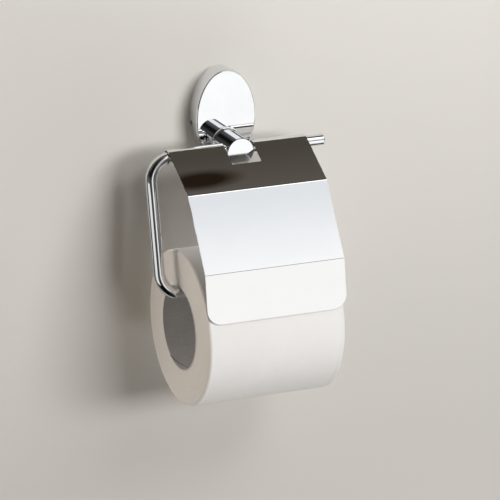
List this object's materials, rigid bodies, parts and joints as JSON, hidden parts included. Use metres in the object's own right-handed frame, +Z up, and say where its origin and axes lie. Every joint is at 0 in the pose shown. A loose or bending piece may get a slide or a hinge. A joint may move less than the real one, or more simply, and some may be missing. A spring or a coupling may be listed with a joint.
{
  "type": "toilet paper holder",
  "caption": "Wall-mounted chrome toilet paper holder: oval rosette, post, bent rod arm, folded sheet cover that lifts, and a paper roll that turns on the arm.",
  "frame": {"origin": "middle of the two wall screw holes, on the back face of the wall bracket, in the wall plane", "axes": "+X along the bars towards the rod's free end (the leg is at -X), +Y into the wall, +Z up; the holder stands out towards -Y"},
  "size_m": [0.1341, 0.1098, 0.2225],
  "materials": {
    "rosette_chrome": "polished chrome plate on a zinc casting",
    "post_chrome": "polished chrome plate on turned brass",
    "arm_chrome": "polished chrome plate on drawn rod",
    "cover_chrome": "mirror-polished sheet",
    "bracket_steel": "zinc-plated pressed steel",
    "screw_steel": "plain steel",
    "core_card": "pale grey spiral-wound card",
    "roll_paper": "soft off-white tissue"
  },
  "bodies": {
    "holder": {"wall_bracket": "bracket_steel", "rosette": "rosette_chrome", "rosette_grub_screws": "screw_steel", "post": "post_chrome", "post_washer": "screw_steel", "post_screw": "screw_steel", "arm_rod": "arm_chrome", "arm_set_screw": "screw_steel"},
    "cover": {"cover": "cover_chrome"},
    "roll": {"cardboard_core": "core_card", "paper_roll": "roll_paper"}
  },
  "joints": [
    {"name": "cover_hinge", "type": "hinge", "parent": "holder", "child": "cover", "pos_m": [0, -0.034, -0.0167], "axis": [-1, 0, 0], "range_deg": [0, 135]},
    {"name": "roll_spin", "type": "hinge", "parent": "holder", "child": "roll", "pos_m": [0, -0.05526, -0.13286], "axis": [1, 0, 0], "continuous": true}
  ]
}
